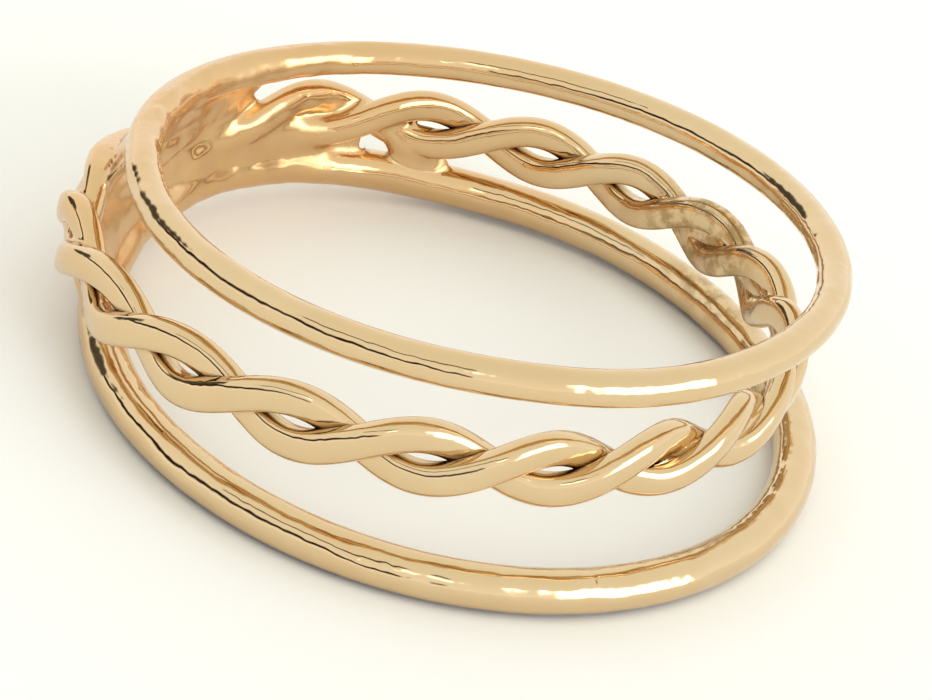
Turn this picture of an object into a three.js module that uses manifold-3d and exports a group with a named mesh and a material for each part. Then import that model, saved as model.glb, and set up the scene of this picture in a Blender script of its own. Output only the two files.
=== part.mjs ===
// A toe ring of yellow gold: a plain hoop, a twisted hoop and another plain hoop, soldered
// together at the back and spread apart towards the front. Lengths are in millimetres and
// angles in degrees. The ring lies on its lower hoop. An azimuth of 0 is +X, and 90 is +Y,
// the back, where the hoops are joined.
import * as THREE from 'three';
import Module from 'manifold-3d';

// Driving dimensions of the two plain hoops. The centre is that of the wire's middle line.
// Each swell makes the wire thicker or thinner by some of its radius, and moves its middle.
// The hoop's plane rises by riseX and riseY for each millimetre along X and Y. At the join
// the wire bends outwards by joinOut and along the ring's axis by joinUp.
const LOWER_HOOP = {
  radius: 8.1, wireRadius: 0.5, centreX: 0.15, centreY: -0.2, centreZ: 0.5,
  riseX: 0, riseY: 0, joinOut: 0.33, joinUp: 0.48,
  swells: [{ azimuth: 28, spread: 52, thicker: 0.11, lift: 0.11, out: 0 }],
};
const UPPER_HOOP = {
  radius: 7.74, wireRadius: 0.4, centreX: 0.13, centreY: -0.13, centreZ: 4.81,
  riseX: -0.018, riseY: -0.087, joinOut: 0.46, joinUp: -0.15,
  swells: [
    { azimuth: 252, spread: 34, thicker: 0.09, lift: -0.08, out: 0 },
    { azimuth: 320, spread: 46, thicker: -0.09, lift: 0, out: 0 },
  ],
};

// The middle hoop: two flattened wires that pass over and under each other.
const TWIST_HOOP = {
  radius: 8.05, centreX: -0.4, centreY: 0.52, centreZ: 2.765,
  riseX: -0.031, riseY: -0.067, joinOut: -0.38, joinUp: 0.26,
  swells: [{ azimuth: 134, spread: 34, thicker: 0, lift: 0, out: 0.07 }],
};
const STRAND_HALF_WIDTH = 0.37;
const STRAND_HALF_THICKNESS = 0.29;
const TWIST_TURNS = 9;
const TWIST_HALF_HEIGHT = 0.48;
const TWIST_HALF_DEPTH = 0.23;
const TWIST_START = 135;
// The twist is looser on one side of the ring: each swing moves the turns to and fro.
const TWIST_SWINGS = [
  { waves: 1, size: -68.6, from: 29 },
  { waves: 2, size: -9.6, from: 66 },
];
// Beside the join the strands have slipped round by some degrees of a turn.
const TWIST_SLIP = { azimuth: 124, spread: 26, turn: 72 };

// The join and its solder, which fills the seams between the hoops. The last two fill the
// twist's own eyes: at the join, and on one side where the strands are wound tight.
const JOIN_AZIMUTH = 90;
const JOIN_BEND_SPREAD = 58;
// Each seam bridges two middle lines, from lowLift above the low one to highLift above the
// high one. Outward sets it off from them. Its ends are hollow, as solder draws into a gap.
const SEAMS = [
  {
    low: LOWER_HOOP, high: TWIST_HOOP, lowLift: 0, highLift: 0,
    azimuth: 86, halfLength: 32, halfThickness: 0.4, outward: 0,
  },
  {
    low: LOWER_HOOP, high: TWIST_HOOP, lowLift: 0, highLift: 0,
    azimuth: 122, halfLength: 27, halfThickness: 0.5, outward: 0.12,
  },
  {
    low: TWIST_HOOP, high: UPPER_HOOP, lowLift: 0, highLift: 0,
    azimuth: 106, halfLength: 27, halfThickness: 0.36, outward: 0,
  },
  {
    low: TWIST_HOOP, high: TWIST_HOOP, lowLift: -0.35, highLift: 0.35,
    azimuth: 104, halfLength: 46, halfThickness: 0.36, outward: 0.05,
  },
  {
    low: TWIST_HOOP, high: TWIST_HOOP, lowLift: -0.32, highLift: 0.32,
    azimuth: 310, halfLength: 68, halfThickness: 0.24, outward: 0,
  },
];
const SEAM_END_HOLLOW = 0.3;

// Fineness of the faceted surfaces.
const HOOP_STEPS = 90;
const HOOP_SIDES = 10;
const STRAND_STEPS_PER_TURN = 16;
const STRAND_SIDES = 8;
const SEAM_STEPS = 12;
const SEAM_SIDES = 10;

const radians = THREE.MathUtils.degToRad;

// How strong a local bend is at an azimuth: 1 in its middle, falling to 0 at its spread.
function bendAt(azimuth, middle, spread) {
  const turned = THREE.MathUtils.euclideanModulo(azimuth - middle + 180, 360) - 180;
  if (Math.abs(turned) >= spread) return 0;
  return Math.cos(0.5 * Math.PI * turned / spread) ** 2;
}

// What a hoop's swells add up to at an azimuth, for one of their sizes.
function swellAt(hoop, azimuth, size) {
  return hoop.swells.reduce((sum, swell) => sum
    + swell[size] * bendAt(azimuth, swell.azimuth, swell.spread), 0);
}

// A place on a hoop's middle line with its outward and upward directions.
function hoopFrame(hoop, azimuth) {
  const up = new THREE.Vector3(-hoop.riseX, -hoop.riseY, 1).normalize();
  const along = new THREE.Vector3(1, 0, hoop.riseX).normalize();
  const across = new THREE.Vector3().crossVectors(up, along);
  const out = along.multiplyScalar(Math.cos(radians(azimuth)))
    .addScaledVector(across, Math.sin(radians(azimuth)));
  const bend = bendAt(azimuth, JOIN_AZIMUTH, JOIN_BEND_SPREAD);
  const place = new THREE.Vector3(hoop.centreX, hoop.centreY, hoop.centreZ)
    .addScaledVector(out, hoop.radius + hoop.joinOut * bend + swellAt(hoop, azimuth, 'out'))
    .addScaledVector(up, hoop.joinUp * bend + swellAt(hoop, azimuth, 'lift'));
  return { place, out, up };
}

// The outline of a wire's section: flat sides that all touch the true round-ended outline.
function wireSection(sides, halfWidth, halfThickness) {
  const straight = halfWidth - halfThickness;
  const reach = halfThickness / Math.cos(Math.PI / sides);
  const points = [];
  for (let side = 0; side < sides; side += 1) {
    const angle = 2 * Math.PI * (side + 0.5) / sides - 0.5 * Math.PI;
    const width = reach * Math.sin(angle) + Math.sign(Math.sin(angle)) * straight;
    points.push([reach * Math.cos(angle), width]);
  }
  return points;
}

// A closed surface through rings of points. A loop joins its last ring to its first;
// otherwise both ends are capped.
function skin(rings, isLoop) {
  const sides = rings[0].length;
  const vertices = rings.flat().flatMap((point) => [point.x, point.y, point.z]);
  const triangles = [];
  const spans = isLoop ? rings.length : rings.length - 1;
  for (let ring = 0; ring < spans; ring += 1) {
    const here = ring * sides;
    const next = ((ring + 1) % rings.length) * sides;
    for (let side = 0; side < sides; side += 1) {
      const beside = (side + 1) % sides;
      triangles.push(here + side, next + side, next + beside);
      triangles.push(here + side, next + beside, here + beside);
    }
  }
  if (!isLoop) {
    const last = (rings.length - 1) * sides;
    for (let side = 1; side < sides - 1; side += 1) {
      triangles.push(0, side, side + 1);
      triangles.push(last, last + side + 1, last + side);
    }
  }
  return { vertices, triangles };
}

// A ring of points round a place, from section points given as steps along two directions.
function sectionRing(place, outward, sideways, section) {
  return section.map(([thickness, width]) => place.clone()
    .addScaledVector(outward, thickness)
    .addScaledVector(sideways, width));
}

function plainHoop(hoop) {
  const rings = [];
  for (let step = 0; step < HOOP_STEPS; step += 1) {
    const azimuth = 360 * step / HOOP_STEPS;
    const wire = hoop.wireRadius + swellAt(hoop, azimuth, 'thicker');
    const frame = hoopFrame(hoop, azimuth);
    rings.push(sectionRing(frame.place, frame.out, frame.up, wireSection(HOOP_SIDES, wire, wire)));
  }
  return skin(rings, true);
}

// The turn that a strand has reached at an azimuth.
function twistTurn(azimuth, strand) {
  const swing = TWIST_SWINGS.reduce((sum, wave) => sum
    + wave.size * Math.cos(radians(wave.waves * azimuth - wave.from)), 0);
  const slip = TWIST_SLIP.turn * bendAt(azimuth, TWIST_SLIP.azimuth, TWIST_SLIP.spread);
  return radians(TWIST_START + 180 * strand - TWIST_TURNS * azimuth + swing + slip);
}

function strandPlace(azimuth, strand) {
  const frame = hoopFrame(TWIST_HOOP, azimuth);
  const turn = twistTurn(azimuth, strand);
  return frame.place
    .addScaledVector(frame.up, TWIST_HALF_HEIGHT * Math.cos(turn))
    .addScaledVector(frame.out, TWIST_HALF_DEPTH * Math.sin(turn));
}

function strandLoop(strand) {
  const section = wireSection(STRAND_SIDES, STRAND_HALF_WIDTH, STRAND_HALF_THICKNESS);
  const steps = STRAND_STEPS_PER_TURN * TWIST_TURNS;
  const stepAngle = 360 / steps;
  const rings = [];
  for (let step = 0; step < steps; step += 1) {
    const azimuth = step * stepAngle;
    const place = strandPlace(azimuth, strand);
    const forward = strandPlace(azimuth + 0.5 * stepAngle, strand)
      .sub(strandPlace(azimuth - 0.5 * stepAngle, strand)).normalize();
    const out = hoopFrame(TWIST_HOOP, azimuth).out;
    const sideways = new THREE.Vector3().crossVectors(out, forward).normalize();
    const outward = new THREE.Vector3().crossVectors(forward, sideways);
    rings.push(sectionRing(place, outward, sideways, section));
  }
  return skin(rings, true);
}

// A point on the skin of a seam: along runs from end to end and angle round the section.
function seamPoint(seam, along, angle) {
  const height = Math.sin(angle);
  const reach = 1 - SEAM_END_HOLLOW * (1 - height * height);
  const azimuth = seam.azimuth + along * reach * seam.halfLength;
  const low = hoopFrame(seam.low, azimuth);
  const high = hoopFrame(seam.high, azimuth);
  const fill = 0.25 + 0.75 * Math.sqrt(1 - along * along);
  const top = high.place.addScaledVector(high.up, seam.highLift);
  return low.place.addScaledVector(low.up, seam.lowLift)
    .lerp(top, 0.5 + 0.5 * height)
    .addScaledVector(low.out, seam.outward + seam.halfThickness * fill * Math.cos(angle));
}

function solderSeam(seam) {
  const rings = [];
  for (let step = 0; step <= SEAM_STEPS; step += 1) {
    const along = 2 * step / SEAM_STEPS - 1;
    const ring = [];
    for (let side = 0; side < SEAM_SIDES; side += 1) {
      ring.push(seamPoint(seam, along, 2 * Math.PI * side / SEAM_SIDES));
    }
    rings.push(ring);
  }
  return skin(rings, false);
}

const wasm = await Module();
wasm.setup();

function solid({ vertices, triangles }) {
  return new wasm.Manifold(new wasm.Mesh({
    numProp: 3,
    vertProperties: new Float32Array(vertices),
    triVerts: new Uint32Array(triangles),
  }));
}

const features = [
  plainHoop(LOWER_HOOP),
  plainHoop(UPPER_HOOP),
  strandLoop(0),
  strandLoop(1),
  ...SEAMS.map(solderSeam),
];
const joined = features.map(solid).reduce((whole, feature) => whole.add(feature)).getMesh();

// The ring stands on the origin, which is below the middle of its box.
const geometry = new THREE.BufferGeometry();
geometry.setAttribute('position', new THREE.BufferAttribute(joined.vertProperties, 3));
geometry.setIndex(new THREE.BufferAttribute(joined.triVerts, 1));
geometry.computeBoundingBox();
const boxMiddle = geometry.boundingBox.getCenter(new THREE.Vector3());
geometry.translate(-boxMiddle.x, -boxMiddle.y, -geometry.boundingBox.min.z);
geometry.computeVertexNormals();

const polishedGold = new THREE.MeshStandardMaterial({ color: 0xd9b070, roughness: 0.15, metalness: 1 });
const ring = new THREE.Mesh(geometry, polishedGold);
ring.name = 'toe_ring';

const part = new THREE.Group();
part.add(ring);
export default part;
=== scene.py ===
import math

import bmesh
import bpy
from bpy.props import FloatProperty, FloatVectorProperty, IntProperty, PointerProperty
from mathutils import Matrix, Quaternion, Vector


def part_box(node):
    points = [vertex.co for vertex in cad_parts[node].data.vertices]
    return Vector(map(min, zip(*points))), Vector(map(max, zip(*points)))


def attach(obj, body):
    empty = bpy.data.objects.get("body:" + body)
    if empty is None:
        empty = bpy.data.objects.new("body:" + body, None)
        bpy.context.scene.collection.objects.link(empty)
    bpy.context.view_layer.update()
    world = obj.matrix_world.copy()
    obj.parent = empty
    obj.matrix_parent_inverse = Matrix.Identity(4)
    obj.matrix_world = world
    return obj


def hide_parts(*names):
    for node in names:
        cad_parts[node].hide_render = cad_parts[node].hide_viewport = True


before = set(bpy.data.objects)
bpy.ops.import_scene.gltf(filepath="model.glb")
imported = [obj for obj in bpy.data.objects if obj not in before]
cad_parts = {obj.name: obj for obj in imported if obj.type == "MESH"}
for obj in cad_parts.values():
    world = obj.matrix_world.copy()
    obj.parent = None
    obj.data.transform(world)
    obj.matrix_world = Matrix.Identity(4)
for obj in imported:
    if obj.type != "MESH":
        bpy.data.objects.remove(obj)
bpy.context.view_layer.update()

bl_info = {
    "name": "Soldered toe ring",
    "version": (1, 1, 0),
    "blender": (4, 5, 0),
    "location": "3D View > Sidebar > Toe Ring",
    "description": "Makes a gold toe ring of plain and twisted wire hoops, and a studio for it",
    "category": "Object",
}

# The solid that the ring stands for. The ring is made in millimetres, in its own raw place, and
# comes to metres and to the solid's place when it is fused.
NODE = "toe_ring"
MM = 0.001

# The middle lines of the hoops, in millimetres and degrees. An azimuth of 0 is +X, and 90 is
# the back. A hoop's plane rises by "rise" for each millimetre along X and Y. At the join the
# wire bends outwards by "join_out" and along the ring's axis by "join_up". Each swell makes
# the wire thicker or thinner, and moves its middle up and out.
LOWER_HOOP = {
    "radius": 8.1, "centre": (0.15, -0.2, 0.5), "rise": (0.0, 0.0),
    "join_out": 0.33, "join_up": 0.48,
    "swells": ({"azimuth": 28, "spread": 52, "thicker": 0.11, "lift": 0.11, "out": 0},),
}
UPPER_HOOP = {
    "radius": 7.74, "centre": (0.13, -0.13, 4.81), "rise": (-0.018, -0.087),
    "join_out": 0.46, "join_up": -0.15,
    "swells": (
        {"azimuth": 252, "spread": 34, "thicker": 0.09, "lift": -0.08, "out": 0},
        {"azimuth": 320, "spread": 46, "thicker": -0.09, "lift": 0, "out": 0},
    ),
}
TWIST_HOOP = {
    "radius": 8.05, "centre": (-0.4, 0.52, 2.765), "rise": (-0.031, -0.067),
    "join_out": -0.38, "join_up": 0.26,
    "swells": ({"azimuth": 134, "spread": 34, "thicker": 0, "lift": 0, "out": 0.07},),
}

# The twist: how far a strand swings up and out, and where its turns run ahead or behind.
TWIST_TURNS = 9
TWIST_HALF_HEIGHT = 0.48
TWIST_HALF_DEPTH = 0.23
TWIST_START = 135
TWIST_SWINGS = (
    {"waves": 1, "size": -68.6, "from": 29},
    {"waves": 2, "size": -9.6, "from": 66},
)
TWIST_SLIP = {"azimuth": 124, "spread": 26, "turn": 72}

# The twisted wires were pressed flat: the power to which their section's round is raised.
# At 1 it is an ellipse, and lower powers give flatter sides and tighter corners.
STRAND_ROUNDNESS = 0.74

# The join at the back. Each seam of solder bridges two middle lines, from "low_lift" above the
# low one to "high_lift" above the high one, and is set off from them by "outward". It is
# thinner at its ends, which are hollow between the two wires.
JOIN_AZIMUTH = 90
JOIN_BEND_SPREAD = 58
SEAMS = (
    {"low": LOWER_HOOP, "high": TWIST_HOOP, "low_lift": 0, "high_lift": 0,
     "azimuth": 88, "half_length": 30, "half_thickness": 0.4, "outward": 0},
    {"low": LOWER_HOOP, "high": TWIST_HOOP, "low_lift": 0, "high_lift": 0,
     "azimuth": 50, "half_length": 7, "half_thickness": 0.3, "outward": 0},
    {"low": LOWER_HOOP, "high": TWIST_HOOP, "low_lift": 0, "high_lift": 0,
     "azimuth": 122, "half_length": 27, "half_thickness": 0.5, "outward": 0.12},
    {"low": TWIST_HOOP, "high": UPPER_HOOP, "low_lift": 0, "high_lift": 0,
     "azimuth": 106, "half_length": 27, "half_thickness": 0.36, "outward": 0},
    {"low": TWIST_HOOP, "high": TWIST_HOOP, "low_lift": -0.35, "high_lift": 0.35,
     "azimuth": 104, "half_length": 46, "half_thickness": 0.36, "outward": 0.05},
)
# On one side the strands are wound so tight that no eye is left between them.
TIGHT_CORE = {
    "low": TWIST_HOOP, "high": TWIST_HOOP, "low_lift": -0.32, "high_lift": 0.32,
    "azimuth": 310, "half_length": 68, "half_thickness": 0.24, "outward": 0,
}
SEAM_END_FILL = 0.25
SEAM_END_HOLLOW = 0.3
SEAM_STEPS = 40
SEAM_SIDES = 20

# The solder's skin runs over the wires of the join. It was poured from inside the ring, so
# there it covers the wires in low lumps. Outside it only rounds the corners between them, and
# "facing" says how far outwards the skin looks where the one passes into the other.
POUR = {
    "azimuth": 100, "spread": 56, "steps": 140, "sides": 24, "grain": 0.065, "smoothings": 30,
    "thickness": 0.07, "undercut": 0.02, "facing": (-0.2, 0.4),
}
LUMPS = {"size": 0.9, "height": 0.14}

# A small nick on the front of the lower hoop. "Around" is its angle on the wire, up from outwards.
NICK = {"azimuth": 246, "around": 62, "length": 0.16, "width": 0.045, "depth": 0.03}

# How near two points of a mesh are merged, in millimetres, and which edges stay sharp.
MERGE_DISTANCE = 1e-5
SHARP_ANGLE = 50

# The noises that vary the gold: the size of their patches in millimetres, and their detail.
NOISES = {
    "patches": {"size": 2.5, "detail": 3},
    "specks": {"size": 0.4, "detail": 4},
    "broad_ripples": {"size": 1.8, "detail": 1},
    "fine_ripples": {"size": 0.45, "detail": 1},
}
NOISE_ROUGHNESS = 0.6
# How high the ripples are that drawing and buffing leave.
BROAD_RIPPLE_HEIGHT = 0.15
FINE_RIPPLE_HEIGHT = 0.02
# How the patches change the roughness, from the most to the least polished of them.
POLISH = {"patches": (0.3, 0.7), "shares": (0.6, 1.4)}
# Where the gold is warmest, towards the back, and where it is palest, towards the front, along Y.
WARMEST_DEPTH = 8.5
PALEST_DEPTH = 1
# The corners, where polishing residue and painted shade turn the gold brown: how wide they
# are, and how open a corner is where the brown in them is full and where it ends.
CREVICE_RESIDUE_AND_SHADE = {"width": 0.3, "brown": 0.12, "open_corner": 0.7, "samples": 6}
# The tarnished patch inside the tight side of the twist, full inside its "core" and gone past
# its "reach", and the part of the specks' noise that is dull.
TARNISH = {"place": (7.5, -1.3, 2.6), "core": 1.3, "reach": 2.6, "specks": (0.38, 0.6), "roughness": 0.2}

# The view of the ring, in millimetres and degrees.
CAMERA_DISTANCE = 74.8
CAMERA_ELEVATION = 32.08
CAMERA_AZIMUTH = -53.2
CAMERA_ROLL = 15.24
CAMERA_AIM = (0.19, 0.59)
FOCAL_PIXELS = 3272
IMAGE_WIDTH = 932
SENSOR_WIDTH = 36
# Half the width of the floor, in metres.
FLOOR_HALF_WIDTH = 1.5

# What surrounds the ring, as the polished wires mirror it: soft-edged panels in a white tent.
# Azimuths run anticlockwise from above, and 270 is where the camera stands.
PANELS = (
    {"azimuth": 332, "elevation": 12, "half_width": 20, "half_height": 22, "soft": 2.5,
     "colour": "#FFFFFC", "strength": 3.8},
    {"azimuth": 212, "elevation": 18, "half_width": 62, "half_height": 6.5, "soft": 2.5,
     "colour": "#24180C", "strength": 0.8},
    {"azimuth": 243, "elevation": 50, "half_width": 24, "half_height": 2.5, "soft": 1.5,
     "colour": "#2A1E12", "strength": 1.0},
    {"azimuth": 150, "elevation": 13, "half_width": 12, "half_height": 13, "soft": 3,
     "colour": "#5A564E", "strength": 0.8},
    {"azimuth": 277, "elevation": 34, "half_width": 4, "half_height": 4, "soft": 2,
     "colour": "#FFFFFC", "strength": 3.0},
)
TENT_LOW = {"colour": "#FFFEFC", "strength": 1.2}
TENT_HIGH = {"colour": "#F6F7EC", "strength": 1.1}


def linear(hex_colour):
    """An sRGB hex colour as linear red, green, blue and alpha."""
    channels = [int(hex_colour[at:at + 2], 16) / 255 for at in (1, 3, 5)]
    return tuple(c / 12.92 if c <= 0.04045 else ((c + 0.055) / 1.055) ** 2.4 for c in channels) + (1.0,)


def add_node(tree, kind, settings=None, inputs=None):
    """Adds a node with its settings. An input is a value, a socket, or a node's first output."""
    node = tree.nodes.new(kind)
    for name, value in (settings or {}).items():
        setattr(node, name, value)
    for name, value in (inputs or {}).items():
        source = value.outputs[0] if isinstance(value, bpy.types.Node) else value
        if isinstance(source, bpy.types.NodeSocket):
            tree.links.new(source, node.inputs[name])
        else:
            node.inputs[name].default_value = source
    return node


class ToeRingSizes(bpy.types.PropertyGroup):
    """Sizes of the ring's wires."""
    lower_wire: FloatProperty(
        name="Lower wire", description="Radius of the lower hoop's wire, in mm",
        default=0.5, min=0.1)
    upper_wire: FloatProperty(
        name="Upper wire", description="Radius of the upper hoop's wire, in mm",
        default=0.4, min=0.1)
    strand_half_width: FloatProperty(
        name="Strand half width", description="Half the width of a twisted wire, in mm",
        default=0.37, min=0.1)
    strand_half_thickness: FloatProperty(
        name="Strand half thickness", description="Half the thickness of a twisted wire, in mm",
        default=0.29, min=0.1)
    hoop_steps: IntProperty(
        name="Hoop steps", description="Steps round a plain hoop", default=300, min=12)
    strand_steps: IntProperty(
        name="Strand steps", description="Steps round a twisted wire", default=486, min=48)
    hoop_sides: IntProperty(
        name="Hoop sides", description="Sides of a plain wire's section", default=36, min=6)
    strand_sides: IntProperty(
        name="Strand sides", description="Sides of a twisted wire's section", default=28, min=6)
    place: FloatVectorProperty(
        name="Place", description="How far the fused ring was moved from its raw place",
        size=3, subtype="TRANSLATION", unit="LENGTH")


class ToeRingFinish(bpy.types.PropertyGroup):
    """Colours of the gold and of the floor, and how rough the gold is."""
    gold_warm: FloatVectorProperty(
        name="Warm gold", description="Colour of the gold where it is warmest",
        subtype="COLOR", size=4, default=linear("#DDB27D"), min=0, max=1)
    gold_pale: FloatVectorProperty(
        name="Pale gold", description="Colour of the gold where it is palest",
        subtype="COLOR", size=4, default=linear("#DDC7A1"), min=0, max=1)
    # Partly painted shade: the brown that closed corners are mixed towards, with polishing residue.
    crevice_residue_and_shade: FloatVectorProperty(
        name="Crevice", description="Colour of the gold in the corners that buffing doesn't reach",
        subtype="COLOR", size=4, default=linear("#54300F"), min=0, max=1)
    tarnish: FloatVectorProperty(
        name="Tarnish", description="Colour of the gold in its tarnished patch",
        subtype="COLOR", size=4, default=linear("#B3966A"), min=0, max=1)
    roughness: FloatProperty(
        name="Roughness", description="Roughness of the buffed gold",
        subtype="FACTOR", default=0.1, min=0, max=1)
    solder_roughness: FloatProperty(
        name="Solder roughness", description="Roughness of the poured solder",
        subtype="FACTOR", default=0.22, min=0, max=1)
    floor: FloatVectorProperty(
        name="Floor", description="Colour of the studio floor",
        subtype="COLOR", size=4, default=linear("#FCFCFA"), min=0, max=1)


def bend_at(azimuth, middle, spread):
    """How strong a local bend is at an azimuth: 1 in its middle, falling to 0 at its spread."""
    apart = (azimuth - middle + 180) % 360 - 180
    if abs(apart) >= spread:
        return 0.0
    return math.cos(0.5 * math.pi * apart / spread) ** 2


def swell_at(hoop, azimuth, size):
    """What a hoop's swells add up to at an azimuth, for one of their sizes."""
    return sum(swell[size] * bend_at(azimuth, swell["azimuth"], swell["spread"])
               for swell in hoop["swells"])


def hoop_frame(hoop, azimuth):
    """A place on a hoop's middle line, with its outward and upward directions."""
    rise_x, rise_y = hoop["rise"]
    up = Vector((-rise_x, -rise_y, 1)).normalized()
    along = Vector((1, 0, rise_x)).normalized()
    across = up.cross(along)
    turn = math.radians(azimuth)
    out = along * math.cos(turn) + across * math.sin(turn)
    bend = bend_at(azimuth, JOIN_AZIMUTH, JOIN_BEND_SPREAD)
    reach = hoop["radius"] + hoop["join_out"] * bend + swell_at(hoop, azimuth, "out")
    lift = hoop["join_up"] * bend + swell_at(hoop, azimuth, "lift")
    return Vector(hoop["centre"]) + out * reach + up * lift, out, up


def strand_place(azimuth, strand):
    """A place on the middle line of one of the two twisted wires."""
    place, out, up = hoop_frame(TWIST_HOOP, azimuth)
    swing = sum(wave["size"] * math.cos(math.radians(wave["waves"] * azimuth - wave["from"]))
                for wave in TWIST_SWINGS)
    slip = TWIST_SLIP["turn"] * bend_at(azimuth, TWIST_SLIP["azimuth"], TWIST_SLIP["spread"])
    turn = math.radians(TWIST_START + 180 * strand - TWIST_TURNS * azimuth + swing + slip)
    return place + up * (TWIST_HALF_HEIGHT * math.cos(turn)) + out * (TWIST_HALF_DEPTH * math.sin(turn))


def new_object(name, mesh):
    """A new object of a mesh, in the scene."""
    piece = bpy.data.objects.new(name, mesh)
    bpy.context.scene.collection.objects.link(piece)
    return piece


def add_tree(piece, tree, values):
    """Puts a tree of Geometry Nodes on a piece and sets its named inputs."""
    modifier = piece.modifiers.new(tree.name, "NODES")
    modifier.node_group = tree
    for item in tree.interface.items_tree:
        if item.in_out == "INPUT" and item.name in values:
            modifier[item.identifier] = values[item.name]


def new_tree(name, inputs):
    """An empty tree of Geometry Nodes that takes a shape, some named values and a material."""
    tree = bpy.data.node_groups.new(name, "GeometryNodeTree")
    kinds = {"Shape": "Geometry", **inputs, "Material": "Material"}
    for title, kind in kinds.items():
        tree.interface.new_socket(title, in_out="INPUT", socket_type="NodeSocket" + kind)
    tree.interface.new_socket("Shape", in_out="OUTPUT", socket_type="NodeSocketGeometry")
    return tree


def finish_tree(tree, shape, material):
    """Ends a tree: real geometry with its material."""
    real = add_node(tree, "GeometryNodeRealizeInstances", inputs={"Geometry": shape})
    coated = add_node(tree, "GeometryNodeSetMaterial", inputs={"Geometry": real, "Material": material})
    add_node(tree, "NodeGroupOutput", inputs={"Shape": coated})


def wire_section(tree, given):
    """A wire's section: a circle, pressed flat by the half sizes and the roundness."""
    circle = add_node(tree, "GeometryNodeCurvePrimitiveCircle", inputs={
        "Resolution": given["Sides"], "Radius": 1.0})
    place = add_node(tree, "GeometryNodeInputPosition")
    parts = add_node(tree, "ShaderNodeSeparateXYZ", inputs={"Vector": place}).outputs
    reaches = []
    for part, half in ((parts["X"], given["Half Thickness"]), (parts["Y"], given["Half Width"])):
        side = add_node(tree, "ShaderNodeMath", {"operation": "SIGN"}, {0: part})
        size = add_node(tree, "ShaderNodeMath", {"operation": "ABSOLUTE"}, {0: part})
        rounded = add_node(tree, "ShaderNodeMath", {"operation": "POWER"}, {
            0: size, 1: given["Roundness"]})
        reach = add_node(tree, "ShaderNodeMath", {"operation": "MULTIPLY"}, {0: rounded, 1: half})
        reaches.append(add_node(tree, "ShaderNodeMath", {"operation": "MULTIPLY"}, {0: reach, 1: side}))
    outline = add_node(tree, "ShaderNodeCombineXYZ", inputs={"X": reaches[0], "Y": reaches[1]})
    return add_node(tree, "GeometryNodeSetPosition", inputs={"Geometry": circle, "Position": outline})


def wire_tree():
    """Geometry Nodes that sweep a wire's section along a path, scaled by the path's own shares."""
    tree = bpy.data.node_groups.get("swept_wire")
    if tree:
        return tree
    tree = new_tree("swept_wire", {
        "Half Width": "Float", "Half Thickness": "Float", "Roundness": "Float", "Sides": "Int"})
    given = add_node(tree, "NodeGroupInput").outputs
    path = add_node(tree, "GeometryNodeMeshToCurve", inputs={"Mesh": given["Shape"]})
    upright = add_node(tree, "GeometryNodeSetCurveNormal", {"mode": "Z_UP"}, {"Curve": path})
    share = add_node(tree, "GeometryNodeInputNamedAttribute", {"data_type": "FLOAT"}, {"Name": "share"})
    varied = add_node(tree, "GeometryNodeSetCurveRadius", inputs={"Curve": upright, "Radius": share})
    swept = add_node(tree, "GeometryNodeCurveToMesh", inputs={
        "Curve": varied, "Profile Curve": wire_section(tree, given), "Fill Caps": True})
    finish_tree(tree, swept, given["Material"])
    return tree


def pour_share(tree, given, parts):
    """How much of the poured solder is left at a place: all in its middle, none past its spread."""
    azimuth = add_node(tree, "ShaderNodeMath", {"operation": "ARCTAN2"}, {0: parts["Y"], 1: parts["X"]})
    apart = add_node(tree, "ShaderNodeMath", {"operation": "SUBTRACT"}, {0: azimuth, 1: given["Azimuth"]})
    away = add_node(tree, "ShaderNodeMath", {"operation": "ABSOLUTE"}, {0: apart})
    return add_node(tree, "ShaderNodeMapRange", {"interpolation_type": "SMOOTHSTEP"}, {
        "Value": away, "From Max": given["Spread"], "To Min": 1.0, "To Max": 0.0})


def lump_height(tree, given, place):
    """How thick the poured solder is at a place, in low lumps."""
    fineness = add_node(tree, "ShaderNodeMath", {"operation": "DIVIDE"}, {0: 1.0, 1: given["Lump Size"]})
    noise = add_node(tree, "ShaderNodeTexNoise", inputs={
        "Vector": place, "Scale": fineness, "Detail": 1.0})
    centred = add_node(tree, "ShaderNodeMath", {"operation": "SUBTRACT"}, {0: noise, 1: 0.5})
    return add_node(tree, "ShaderNodeMath", {"operation": "MULTIPLY_ADD"}, {
        0: centred, 1: given["Lump Height"], 2: given["Thickness"]})


def inside_share(tree, normal, parts):
    """How much the skin looks into the ring: 1 where it faces the ring's axis, 0 outside."""
    from_axis = add_node(tree, "ShaderNodeCombineXYZ", inputs={"X": parts["X"], "Y": parts["Y"]})
    outwards = add_node(tree, "ShaderNodeVectorMath", {"operation": "NORMALIZE"}, {0: from_axis})
    facing = add_node(tree, "ShaderNodeVectorMath", {"operation": "DOT_PRODUCT"}, {
        0: normal, 1: outwards}).outputs["Value"]
    inner, outer = POUR["facing"]
    return add_node(tree, "ShaderNodeMapRange", {"interpolation_type": "SMOOTHSTEP"}, {
        "Value": facing, "From Min": inner, "From Max": outer, "To Min": 1.0, "To Max": 0.0})


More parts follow.
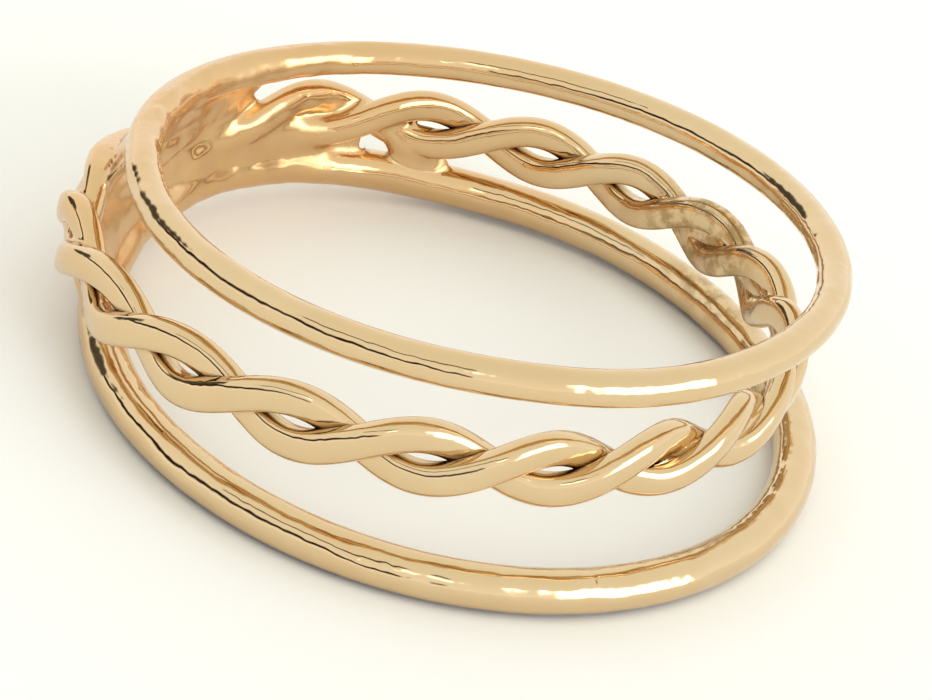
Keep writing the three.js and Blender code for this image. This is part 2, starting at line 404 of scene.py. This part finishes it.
def pour_tree():
    """Geometry Nodes that swell the join's inner skin into lumpy solder and sink the rest a little."""
    tree = new_tree("poured_solder", {
        "Azimuth": "Float", "Spread": "Float", "Thickness": "Float", "Undercut": "Float",
        "Lump Size": "Float", "Lump Height": "Float"})
    given = add_node(tree, "NodeGroupInput").outputs
    place = add_node(tree, "GeometryNodeInputPosition")
    parts = add_node(tree, "ShaderNodeSeparateXYZ", inputs={"Vector": place}).outputs
    normal = add_node(tree, "GeometryNodeInputNormal")
    lumps = lump_height(tree, given, place)
    sunk = add_node(tree, "ShaderNodeMath", {"operation": "ADD"}, {0: lumps, 1: given["Undercut"]})
    swell = add_node(tree, "ShaderNodeMath", {"operation": "MULTIPLY"}, {
        0: sunk, 1: pour_share(tree, given, parts)})
    poured = add_node(tree, "ShaderNodeMath", {"operation": "MULTIPLY"}, {
        0: swell, 1: inside_share(tree, normal, parts)})
    height = add_node(tree, "ShaderNodeMath", {"operation": "SUBTRACT"}, {
        0: poured, 1: given["Undercut"]})
    offset = add_node(tree, "ShaderNodeVectorMath", {"operation": "SCALE"}, {0: normal, "Scale": height})
    skin = add_node(tree, "GeometryNodeSetPosition", inputs={
        "Geometry": given["Shape"], "Offset": offset})
    finish_tree(tree, skin, given["Material"])
    return tree


def face_outwards(mesh):
    """Merges doubled points and turns every face of a closed mesh outwards."""
    shape = bmesh.new()
    shape.from_mesh(mesh)
    bmesh.ops.remove_doubles(shape, verts=shape.verts, dist=MERGE_DISTANCE)
    bmesh.ops.recalc_face_normals(shape, faces=shape.faces)
    if shape.calc_volume(signed=True) < 0:
        bmesh.ops.reverse_faces(shape, faces=shape.faces)
    shape.to_mesh(mesh)
    shape.free()


def drop_specks(mesh):
    """Keeps the largest of a mesh's separate parts, without the specks that fusing leaves."""
    shape = bmesh.new()
    shape.from_mesh(mesh)
    left = set(shape.verts)
    parts = []
    while left:
        part = set()
        edge_of_part = [left.pop()]
        while edge_of_part:
            vertex = edge_of_part.pop()
            part.add(vertex)
            beside = {edge.other_vert(vertex) for edge in vertex.link_edges} & left
            left -= beside
            edge_of_part.extend(beside)
        parts.append(part)
    largest = max(parts, key=len)
    specks = [vertex for vertex in shape.verts if vertex not in largest]
    bmesh.ops.delete(shape, geom=specks, context="VERTS")
    shape.to_mesh(mesh)
    shape.free()


def plain_mesh(piece, name):
    """The evaluated shape of a piece as a new plain object; the piece is removed."""
    bpy.context.view_layer.update()
    graph = bpy.context.evaluated_depsgraph_get()
    mesh = bpy.data.meshes.new_from_object(piece.evaluated_get(graph))
    if not mesh.polygons:
        raise RuntimeError(f"{name} came out empty")
    mesh.name = name
    bpy.data.objects.remove(piece)
    return new_object(name, mesh)


def swept_wire(name, places, shares, is_loop, section):
    """A wire along the places. Its section is scaled at each place by its share."""
    count = len(places)
    mesh = bpy.data.meshes.new(name + "_path")
    edges = [(step, (step + 1) % count) for step in range(count if is_loop else count - 1)]
    mesh.from_pydata(places, edges, [])
    mesh.attributes.new("share", "FLOAT", "POINT").data.foreach_set("value", shares)
    piece = new_object(mesh.name, mesh)
    add_tree(piece, wire_tree(), {**section, "Material": polished_gold()})
    wire = plain_mesh(piece, name)
    face_outwards(wire.data)
    return wire


def hoop_wire(name, hoop, wire, azimuths, is_loop, sides):
    """The plain wire of a hoop at some azimuths."""
    places = [hoop_frame(hoop, azimuth)[0] for azimuth in azimuths]
    shares = [1 + swell_at(hoop, azimuth, "thicker") / wire for azimuth in azimuths]
    section = {"Half Width": wire, "Half Thickness": wire, "Roundness": 1.0, "Sides": sides}
    return swept_wire(name, places, shares, is_loop, section)


def strand_wire(name, strand, azimuths, is_loop, sizes):
    """One of the two twisted wires at some azimuths."""
    places = [strand_place(azimuth, strand) for azimuth in azimuths]
    section = {
        "Half Width": sizes.strand_half_width, "Half Thickness": sizes.strand_half_thickness,
        "Roundness": STRAND_ROUNDNESS, "Sides": sizes.strand_sides}
    return swept_wire(name, places, [1.0] * len(places), is_loop, section)


def tarnish_share(tree, place, specks):
    """How tarnished the gold is: dull specks that gather in one patch."""
    spot = Vector(TARNISH["place"]) * MM
    away = add_node(tree, "ShaderNodeVectorMath", {"operation": "DISTANCE"}, {0: place, 1: spot})
    near = add_node(tree, "ShaderNodeMapRange", {"interpolation_type": "SMOOTHSTEP"}, {
        "Value": away.outputs["Value"],
        "From Min": TARNISH["reach"] * MM, "From Max": TARNISH["core"] * MM})
    clear, dull = TARNISH["specks"]
    speckled = add_node(tree, "ShaderNodeMapRange", {"interpolation_type": "SMOOTHSTEP"}, {
        "Value": specks, "From Min": clear, "From Max": dull})
    return add_node(tree, "ShaderNodeMath", {"operation": "MULTIPLY"}, {0: near, 1: speckled})


def gold_colour(tree, place, patches, tarnish):
    """The gold's colour: warm to pale from back to front, tarnished, brown in crevices (residue and
    painted shade).
    """
    finish = bpy.context.scene.toe_ring_finish
    depth = add_node(tree, "ShaderNodeSeparateXYZ", inputs={0: place}).outputs["Y"]
    front = add_node(tree, "ShaderNodeMapRange", {"interpolation_type": "SMOOTHSTEP"}, {
        "Value": depth, "From Min": WARMEST_DEPTH * MM, "From Max": PALEST_DEPTH * MM})
    half_front = add_node(tree, "ShaderNodeMath", {"operation": "MULTIPLY"}, {0: front, 1: 0.5})
    share = add_node(tree, "ShaderNodeMath", {"operation": "MULTIPLY_ADD"}, {
        0: patches, 1: 0.5, 2: half_front})
    tint = add_node(tree, "ShaderNodeMix", {"data_type": "RGBA"}, {
        "Factor": share, "A": finish.gold_warm, "B": finish.gold_pale}).outputs["Result"]
    stained = add_node(tree, "ShaderNodeMix", {"data_type": "RGBA"}, {
        "Factor": tarnish, "A": tint, "B": finish.tarnish}).outputs["Result"]
    # Painted shade and polishing residue: ambient occlusion mixes the gold towards brown in closed
    # corners.
    openness = add_node(tree, "ShaderNodeAmbientOcclusion", {"samples": CREVICE_RESIDUE_AND_SHADE["samples"]}, {
        "Distance": CREVICE_RESIDUE_AND_SHADE["width"] * MM}).outputs["AO"]
    open_corner = add_node(tree, "ShaderNodeMapRange", {"interpolation_type": "SMOOTHSTEP"}, {
        "Value": openness, "From Min": CREVICE_RESIDUE_AND_SHADE["brown"], "From Max": CREVICE_RESIDUE_AND_SHADE["open_corner"]})
    return add_node(tree, "ShaderNodeMix", {"data_type": "RGBA"}, {
        "Factor": open_corner, "A": finish.crevice_residue_and_shade, "B": stained}).outputs["Result"]


def gold_roughness(tree, roughness, patches, tarnish):
    """The gold's roughness: a little duller in some patches, and duller still where tarnished."""
    low, high = POLISH["patches"]
    least, most = POLISH["shares"]
    dullness = add_node(tree, "ShaderNodeMapRange", inputs={
        "Value": patches, "From Min": low, "From Max": high,
        "To Min": roughness * least, "To Max": roughness * most})
    return add_node(tree, "ShaderNodeMath", {"operation": "MULTIPLY_ADD"}, {
        0: tarnish, 1: TARNISH["roughness"], 2: dullness}).outputs[0]


def gold_ripples(tree, noises):
    """The gold's ripples, fine ones over broad ones."""
    broad = add_node(tree, "ShaderNodeBump", inputs={
        "Strength": 1.0, "Distance": BROAD_RIPPLE_HEIGHT * MM, "Height": noises["broad_ripples"]})
    return add_node(tree, "ShaderNodeBump", inputs={
        "Strength": 1.0, "Distance": FINE_RIPPLE_HEIGHT * MM, "Height": noises["fine_ripples"],
        "Normal": broad}).outputs["Normal"]


def gold(name, roughness):
    """Yellow gold: a warm mirror, a little wavy and in places a little duller.

    The wire was drawn and then buffed by hand, so reflected lines waver along it and break up.
    The gold is paler at the front and warmer towards the back. In closed corners it is brown,
    partly from polishing residue and partly as painted shade. A patch inside the tight side of
    the twist is tarnished in small dull spots.
    """
    material = bpy.data.materials.get(name)
    if material:
        return material
    material = bpy.data.materials.new(name)
    material.use_nodes = True
    tree = material.node_tree
    shader = tree.nodes["Principled BSDF"]
    shader.inputs["Metallic"].default_value = 1.0
    place = add_node(tree, "ShaderNodeTexCoord").outputs["Object"]
    noises = {
        title: add_node(tree, "ShaderNodeTexNoise", inputs={
            "Vector": place, "Scale": 1 / (noise["size"] * MM), "Detail": noise["detail"],
            "Roughness": NOISE_ROUGHNESS})
        for title, noise in NOISES.items()}
    patches = noises["patches"]
    tarnish = tarnish_share(tree, place, noises["specks"])
    tree.links.new(gold_colour(tree, place, patches, tarnish), shader.inputs["Base Color"])
    tree.links.new(gold_roughness(tree, roughness, patches, tarnish), shader.inputs["Roughness"])
    tree.links.new(gold_ripples(tree, noises), shader.inputs["Normal"])
    return material


def polished_gold():
    """The gold of the wires, buffed to a mirror."""
    return gold("polished_yellow_gold", bpy.context.scene.toe_ring_finish.roughness)


def solder_gold():
    """The gold solder of the join, softer in its shine, because a buff hardly reaches inside."""
    return gold("poured_gold_solder", bpy.context.scene.toe_ring_finish.solder_roughness)


def spread_azimuths(start, end, steps):
    """Azimuths from a start towards an end, without the end itself."""
    return [start + (end - start) * step / steps for step in range(steps)]


class TOERING_OT_hoops(bpy.types.Operator):
    """Make the two plain hoops"""
    bl_idname = "toe_ring.hoops"
    bl_label = "Plain hoops"

    def execute(self, context):
        sizes = context.scene.toe_ring_sizes
        azimuths = spread_azimuths(0, 360, sizes.hoop_steps)
        hoop_wire("lower_hoop", LOWER_HOOP, sizes.lower_wire, azimuths, True, sizes.hoop_sides)
        hoop_wire("upper_hoop", UPPER_HOOP, sizes.upper_wire, azimuths, True, sizes.hoop_sides)
        return {"FINISHED"}


class TOERING_OT_twist(bpy.types.Operator):
    """Make the two wires of the twisted hoop"""
    bl_idname = "toe_ring.twist"
    bl_label = "Twisted hoop"

    def execute(self, context):
        sizes = context.scene.toe_ring_sizes
        azimuths = spread_azimuths(0, 360, sizes.strand_steps)
        strand_wire("strand_a", 0, azimuths, True, sizes)
        strand_wire("strand_b", 1, azimuths, True, sizes)
        seam_web("tight_core", TIGHT_CORE)
        return {"FINISHED"}


def seam_point(seam, along, angle):
    """A point on the skin of a seam: along runs from end to end and angle round the section."""
    height = math.sin(angle)
    reach = 1 - SEAM_END_HOLLOW * (1 - height * height)
    azimuth = seam["azimuth"] + along * reach * seam["half_length"]
    low, low_out, low_up = hoop_frame(seam["low"], azimuth)
    high, _, high_up = hoop_frame(seam["high"], azimuth)
    fill = SEAM_END_FILL + (1 - SEAM_END_FILL) * math.sqrt(max(0, 1 - along * along))
    bottom = low + low_up * seam["low_lift"]
    top = high + high_up * seam["high_lift"]
    thickness = seam["outward"] + seam["half_thickness"] * fill * math.cos(angle)
    return bottom.lerp(top, 0.5 + 0.5 * height) + low_out * thickness


def seam_web(name, seam):
    """A closed web of solder between two middle lines."""
    points = [seam_point(seam, 2 * step / SEAM_STEPS - 1, 2 * math.pi * side / SEAM_SIDES)
              for step in range(SEAM_STEPS + 1) for side in range(SEAM_SIDES)]
    faces = []
    for step in range(SEAM_STEPS):
        here, ahead = step * SEAM_SIDES, (step + 1) * SEAM_SIDES
        for side in range(SEAM_SIDES):
            beside = (side + 1) % SEAM_SIDES
            faces.append((here + side, ahead + side, ahead + beside, here + beside))
    last = SEAM_STEPS * SEAM_SIDES
    faces.append(tuple(range(SEAM_SIDES)))
    faces.append(tuple(last + side for side in reversed(range(SEAM_SIDES))))
    mesh = bpy.data.meshes.new(name)
    mesh.from_pydata(points, [], faces)
    mesh.materials.append(polished_gold())
    face_outwards(mesh)
    return new_object(name, mesh)


def gathered(name, pieces):
    """One object that holds the meshes of some pieces; the pieces are removed."""
    shape = bmesh.new()
    for piece in pieces:
        shape.from_mesh(piece.data)
        bpy.data.objects.remove(piece)
    mesh = bpy.data.meshes.new(name)
    shape.to_mesh(mesh)
    shape.free()
    return new_object(name, mesh)


class TOERING_OT_solder(bpy.types.Operator):
    """Pour the solder over the wires of the join and into its seams"""
    bl_idname = "toe_ring.solder"
    bl_label = "Solder"

    def execute(self, context):
        sizes = context.scene.toe_ring_sizes
        start, end = POUR["azimuth"] - POUR["spread"], POUR["azimuth"] + POUR["spread"]
        azimuths = spread_azimuths(start, end, POUR["steps"])
        core = [
            hoop_wire("lower_core", LOWER_HOOP, sizes.lower_wire, azimuths, False, POUR["sides"]),
            hoop_wire("upper_core", UPPER_HOOP, sizes.upper_wire, azimuths, False, POUR["sides"]),
            strand_wire("core_a", 0, azimuths, False, sizes),
            strand_wire("core_b", 1, azimuths, False, sizes),
        ]
        core += [seam_web(f"seam_{number}", seam) for number, seam in enumerate(SEAMS)]
        pour = gathered("solder_core", core)
        remesh = pour.modifiers.new("skin", "REMESH")
        remesh.mode = "VOXEL"
        remesh.voxel_size = POUR["grain"]
        smooth = pour.modifiers.new("melt", "SMOOTH")
        smooth.iterations = POUR["smoothings"]
        add_tree(pour, pour_tree(), {
            "Azimuth": math.radians(POUR["azimuth"]), "Spread": math.radians(POUR["spread"]),
            "Thickness": POUR["thickness"], "Undercut": POUR["undercut"],
            "Lump Size": LUMPS["size"], "Lump Height": LUMPS["height"], "Material": solder_gold()})
        face_outwards(plain_mesh(pour, "solder").data)
        return {"FINISHED"}


def nick_tool(sizes):
    """A thin lens that stands for what knocked the small nick in the lower hoop."""
    shape = bmesh.new()
    bmesh.ops.create_icosphere(shape, subdivisions=3, radius=0.5)
    mesh = bpy.data.meshes.new("nick_tool")
    shape.to_mesh(mesh)
    shape.free()
    place, out, up = hoop_frame(LOWER_HOOP, NICK["azimuth"])
    around = math.radians(NICK["around"])
    away = out * math.cos(around) + up * math.sin(around)
    beside = up * math.cos(around) - out * math.sin(around)
    turn = Matrix((beside, beside.cross(away), away)).transposed().to_4x4()
    size = Matrix.Diagonal((NICK["length"], NICK["width"], 2 * NICK["depth"], 1))
    mesh.transform(Matrix.Translation(place + away * sizes.lower_wire) @ turn @ size)
    face_outwards(mesh)
    return new_object(mesh.name, mesh)


class TOERING_OT_fuse(bpy.types.Operator):
    """Fuse the hoops and the solder into one ring and set it in the frame"""
    bl_idname = "toe_ring.fuse"
    bl_label = "Fuse the ring"

    def execute(self, context):
        sizes = context.scene.toe_ring_sizes
        whole = bpy.data.objects["lower_hoop"]
        others = [bpy.data.objects[name]
                  for name in ("upper_hoop", "strand_a", "strand_b", "tight_core", "solder")]
        others.append(nick_tool(sizes))
        for piece in others:
            step = whole.modifiers.new(piece.name, "BOOLEAN")
            step.operation = "DIFFERENCE" if piece.name == "nick_tool" else "UNION"
            step.solver = "MANIFOLD"
            step.material_mode = "TRANSFER"
            step.object = piece
        ring = plain_mesh(whole, "soldered_ring")
        for piece in others:
            bpy.data.objects.remove(piece)
        mesh = ring.data
        drop_specks(mesh)
        mesh.transform(Matrix.Scale(MM, 4))
        low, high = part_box(NODE)
        corners = [[choose(vertex.co[axis] for vertex in mesh.vertices) for axis in range(3)]
                   for choose in (min, max)]
        shift = (low + high - Vector(corners[0]) - Vector(corners[1])) / 2
        shift.z = low.z - corners[0][2]
        mesh.transform(Matrix.Translation(shift))
        sizes.place = shift
        mesh.shade_smooth()
        mesh.set_sharp_from_angle(angle=math.radians(SHARP_ANGLE))
        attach(ring, "root")
        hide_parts(NODE)
        return {"FINISHED"}


def turned(azimuth, elevation):
    """The direction at an azimuth and elevation in the studio."""
    turn = math.radians(azimuth + CAMERA_AZIMUTH)
    lift = math.radians(elevation)
    return Vector((math.cos(turn) * math.cos(lift), math.sin(turn) * math.cos(lift), math.sin(lift)))


def panel_share(tree, direction, panel):
    """How much of a panel is seen in a direction: 1 on the panel, 0 outside its soft edge."""
    ahead = turned(panel["azimuth"], panel["elevation"])
    side = Vector((-ahead.y, ahead.x, 0)).normalized()
    over = ahead.cross(side)
    depth, across, along = [
        add_node(tree, "ShaderNodeVectorMath", {"operation": "DOT_PRODUCT"}, {
            0: direction, 1: axis}).outputs["Value"]
        for axis in (ahead, side, over)]
    share = add_node(tree, "ShaderNodeMath", {"operation": "GREATER_THAN"}, {0: depth, 1: 0.0})
    soft = panel["soft"]
    for reach, half in ((across, panel["half_width"]), (along, panel["half_height"])):
        angle = add_node(tree, "ShaderNodeMath", {"operation": "ARCTAN2"}, {0: reach, 1: depth})
        size = add_node(tree, "ShaderNodeMath", {"operation": "ABSOLUTE"}, {0: angle})
        edge = add_node(tree, "ShaderNodeMapRange", {"interpolation_type": "SMOOTHSTEP"}, {
            "Value": size, "To Min": 1.0, "To Max": 0.0,
            "From Min": math.radians(half - soft), "From Max": math.radians(half + soft)})
        share = add_node(tree, "ShaderNodeMath", {"operation": "MULTIPLY"}, {0: share, 1: edge})
    return share


def glow(light):
    """The linear colour of a light, scaled by its strength."""
    return tuple(channel * light["strength"] for channel in linear(light["colour"])[:3]) + (1.0,)


def light_tent():
    """The white tent and the panels round the ring."""
    world = bpy.data.worlds.new("light_tent")
    world.use_nodes = True
    tree = world.node_tree
    direction = add_node(tree, "ShaderNodeTexCoord").outputs["Generated"]
    height = add_node(tree, "ShaderNodeSeparateXYZ", inputs={0: direction}).outputs["Z"]
    light = add_node(tree, "ShaderNodeMix", {"data_type": "RGBA"}, {
        "Factor": height, "A": glow(TENT_LOW), "B": glow(TENT_HIGH)}).outputs["Result"]
    for panel in PANELS:
        share = panel_share(tree, direction, panel)
        light = add_node(tree, "ShaderNodeMix", {"data_type": "RGBA"}, {
            "Factor": share, "A": light, "B": glow(panel)}).outputs["Result"]
    tree.links.new(light, tree.nodes["Background"].inputs["Color"])
    return world


def studio_camera(place):
    """The camera, at the photograph's angle. The place is how far the ring was moved, in metres."""
    centre = Vector(LOWER_HOOP["centre"]) * MM + place
    aim = centre + (turned(0, 0) * CAMERA_AIM[0] + Vector((0, 0, CAMERA_AIM[1]))) * MM
    spot = centre + turned(270, CAMERA_ELEVATION) * CAMERA_DISTANCE * MM
    lens = bpy.data.cameras.new("camera")
    lens.sensor_width = SENSOR_WIDTH
    lens.lens = FOCAL_PIXELS / IMAGE_WIDTH * SENSOR_WIDTH
    lens.clip_start = MM
    camera = new_object("camera", lens)
    camera.location = spot
    camera.rotation_mode = "QUATERNION"
    roll = Quaternion((0, 0, 1), math.radians(CAMERA_ROLL))
    camera.rotation_quaternion = (aim - spot).to_track_quat("-Z", "Y") @ roll
    return camera


def matt_paper():
    """White matt paper for the floor, which mirrors next to nothing."""
    material = bpy.data.materials.new("matt_white_paper")
    material.use_nodes = True
    shader = material.node_tree.nodes["Principled BSDF"]
    shader.inputs["Base Color"].default_value = bpy.context.scene.toe_ring_finish.floor
    shader.inputs["Roughness"].default_value = 0.9
    shader.inputs["Specular IOR Level"].default_value = 0.1
    return material


class TOERING_OT_studio(bpy.types.Operator):
    """Make the floor, the soft light and the camera"""
    bl_idname = "toe_ring.studio"
    bl_label = "Studio"

    def execute(self, context):
        scene = context.scene
        half = FLOOR_HALF_WIDTH
        corners = [(-half, -half, 0), (half, -half, 0), (half, half, 0), (-half, half, 0)]
        mesh = bpy.data.meshes.new("floor")
        mesh.from_pydata(corners, [], [(0, 1, 2, 3)])
        mesh.materials.append(matt_paper())
        new_object("floor", mesh)
        scene.camera = studio_camera(Vector(scene.toe_ring_sizes.place))
        scene.world = light_tent()
        scene.view_settings.view_transform = "Standard"
        return {"FINISHED"}


class TOERING_PT_panel(bpy.types.Panel):
    """Lists the steps that make the ring, with its sizes and colours"""
    bl_idname = "TOERING_PT_panel"
    bl_label = "Toe ring"
    bl_space_type = "VIEW_3D"
    bl_region_type = "UI"
    bl_category = "Toe Ring"

    def draw(self, context):
        for step in STEPS:
            self.layout.operator(f"toe_ring.{step}")
        for values in (context.scene.toe_ring_sizes, context.scene.toe_ring_finish):
            for name in type(values).__annotations__:
                self.layout.prop(values, name)


STEPS = ("hoops", "twist", "solder", "fuse", "studio")
CLASSES = (
    ToeRingSizes, ToeRingFinish, TOERING_OT_hoops, TOERING_OT_twist, TOERING_OT_solder,
    TOERING_OT_fuse, TOERING_OT_studio, TOERING_PT_panel,
)


def register():
    for made in CLASSES:
        bpy.utils.register_class(made)
    bpy.types.Scene.toe_ring_sizes = PointerProperty(type=ToeRingSizes)
    bpy.types.Scene.toe_ring_finish = PointerProperty(type=ToeRingFinish)


def unregister():
    del bpy.types.Scene.toe_ring_finish
    del bpy.types.Scene.toe_ring_sizes
    for made in reversed(CLASSES):
        bpy.utils.unregister_class(made)


def main():
    """Makes the ring and its studio."""
    register()
    for step in STEPS:
        getattr(bpy.ops.toe_ring, step)()


if __name__ == "__main__":
    main()
